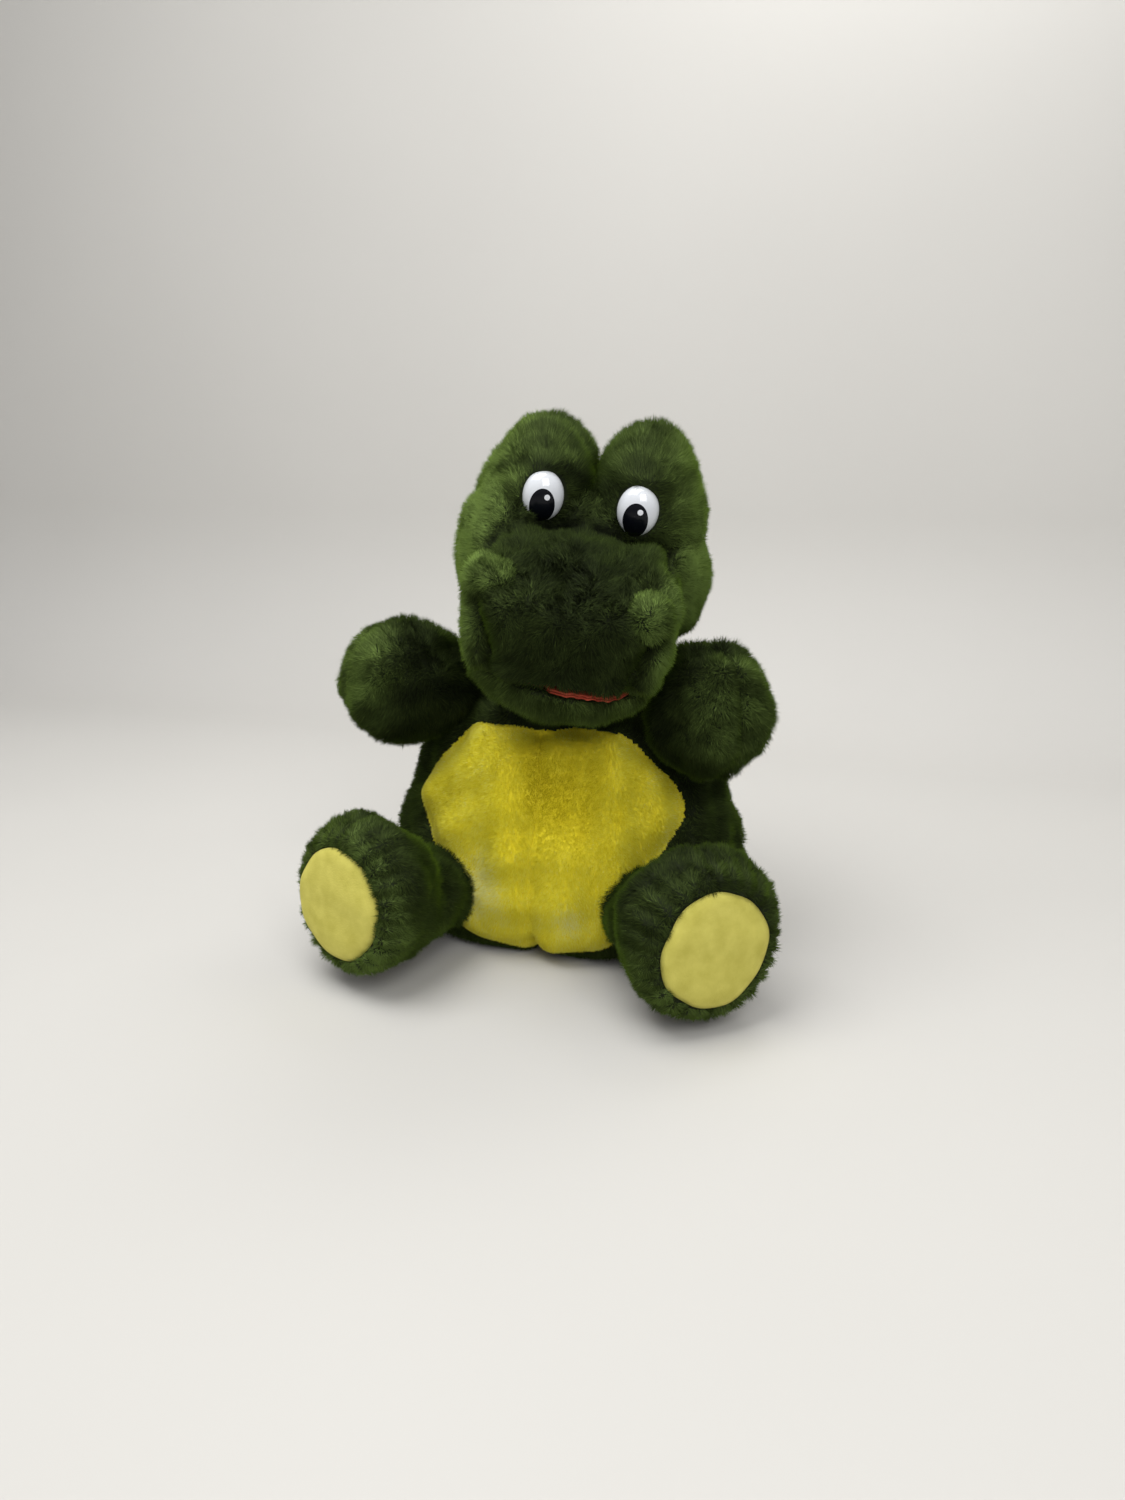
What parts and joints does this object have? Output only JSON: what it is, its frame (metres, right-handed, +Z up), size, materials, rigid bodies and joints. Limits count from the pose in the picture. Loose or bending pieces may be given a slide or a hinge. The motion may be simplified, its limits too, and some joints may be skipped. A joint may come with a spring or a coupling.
{
  "type": "moving mouth hand puppet",
  "caption": "Sitting plush crocodile hand puppet with a moving mouth, bulging eye mounds with oval plastic eyes, raised mitt arms, stuffed legs with flat soles and an open back for the hand.",
  "frame": {"origin": "middle of the seat, on the floor under the body", "axes": "+Z up, through the body and neck; the belly faces -Y and the hand opening faces +Y; +X is the puppet's own left"},
  "size_m": [0.262, 0.2333, 0.3021],
  "materials": {
    "green_plush": "shaggy pile",
    "yellow_belly_plush": "short shaggy pile",
    "yellow_sole_velour": "matt velour",
    "red_felt": "matt felt",
    "white_eye_plastic": "glossy",
    "stiff_board": "matt",
    "dark_lining_cloth": "plain woven cloth",
    "stuffing": "loose polyester wadding"
  },
  "bodies": {
    "body": {"base_panel": "green_plush", "belly_panel_left": "yellow_belly_plush", "belly_panel_right": "yellow_belly_plush", "back_panel_left": "green_plush", "back_panel_right": "green_plush", "seat_fill_left": "stuffing", "seat_fill_right": "stuffing", "side_fill_left": "stuffing", "side_fill_right": "stuffing", "shoulder_fill_left": "stuffing", "shoulder_fill_right": "stuffing", "hand_sleeve": "dark_lining_cloth", "opening_hem": "dark_lining_cloth"},
    "neck": {"neck_skin": "green_plush"},
    "neck_cuff": {"neck_lining": "dark_lining_cloth"},
    "head": {"muzzle_panel": "green_plush", "cheek_panel_left": "green_plush", "cheek_panel_right": "green_plush", "head_back_panel": "green_plush", "eye_mound_left": "green_plush", "eye_mound_right": "green_plush", "mound_fill_left": "stuffing", "mound_fill_right": "stuffing", "eye_left": "white_eye_plastic", "eye_right": "white_eye_plastic", "eye_washer_left": "stiff_board", "eye_washer_right": "stiff_board", "nostril_left": "green_plush", "nostril_right": "green_plush", "crown_fill_left": "stuffing", "crown_fill_right": "stuffing", "cheek_fill_left": "stuffing", "cheek_fill_right": "stuffing", "nape_fill_left": "stuffing", "nape_fill_right": "stuffing", "upper_mouth_board": "stiff_board", "upper_mouth_lining": "red_felt", "finger_pocket": "dark_lining_cloth"},
    "jaw": {"jaw_skin": "green_plush", "jaw_fill": "stuffing", "lower_mouth_board": "stiff_board", "lower_mouth_lining": "red_felt", "thumb_pocket": "dark_lining_cloth"},
    "left_arm": {"arm_front_panel_left": "green_plush", "arm_back_panel_left": "green_plush", "arm_fill_left": "stuffing"},
    "left_leg": {"leg_outer_panel_left": "green_plush", "leg_inner_panel_left": "green_plush", "foot_sole_left": "yellow_sole_velour", "leg_fill_left": "stuffing"},
    "right_arm": {"arm_front_panel_right": "green_plush", "arm_back_panel_right": "green_plush", "arm_fill_right": "stuffing"},
    "right_leg": {"leg_outer_panel_right": "green_plush", "leg_inner_panel_right": "green_plush", "foot_sole_right": "yellow_sole_velour", "leg_fill_right": "stuffing"}
  },
  "joints": [
    {"name": "neck_turn", "type": "hinge", "parent": "body", "child": "neck", "pos_m": [0, 0.008, 0.176], "axis": [0, 0, 1], "range_deg": [-20, 5]},
    {"name": "head_tilt", "type": "hinge", "parent": "neck", "child": "neck_cuff", "pos_m": [0, 0.008, 0.176], "axis": [-0.225, 0.9744, 0], "range_deg": [-8, 5]},
    {"name": "head_nod", "type": "hinge", "parent": "neck_cuff", "child": "head", "pos_m": [0, 0.008, 0.176], "axis": [-0.9632, -0.2224, 0.1513], "range_deg": [-4, 25]},
    {"name": "jaw_open", "type": "hinge", "parent": "head", "child": "jaw", "pos_m": [0.00982, -0.02879, 0.18442], "axis": [0.9632, 0.2224, -0.1513], "range_deg": [0, 25]},
    {"name": "left_arm_swing", "type": "hinge", "parent": "body", "child": "left_arm", "pos_m": [0.066, -0.014, 0.146], "axis": [-0.7314, -0.682, 0], "range_deg": [-30, 6]},
    {"name": "right_arm_swing", "type": "hinge", "parent": "body", "child": "right_arm", "pos_m": [-0.066, -0.014, 0.146], "axis": [-0.6947, 0.7193, 0], "range_deg": [-30, 15]},
    {"name": "left_leg_swing", "type": "hinge", "parent": "body", "child": "left_leg", "pos_m": [0.06, -0.062, 0.046], "axis": [-0.766, -0.6428, 0], "range_deg": [-75, 12]},
    {"name": "right_leg_swing", "type": "hinge", "parent": "body", "child": "right_leg", "pos_m": [-0.053, -0.062, 0.046], "axis": [-0.9063, 0.4226, 0], "range_deg": [-75, 12]}
  ]
}
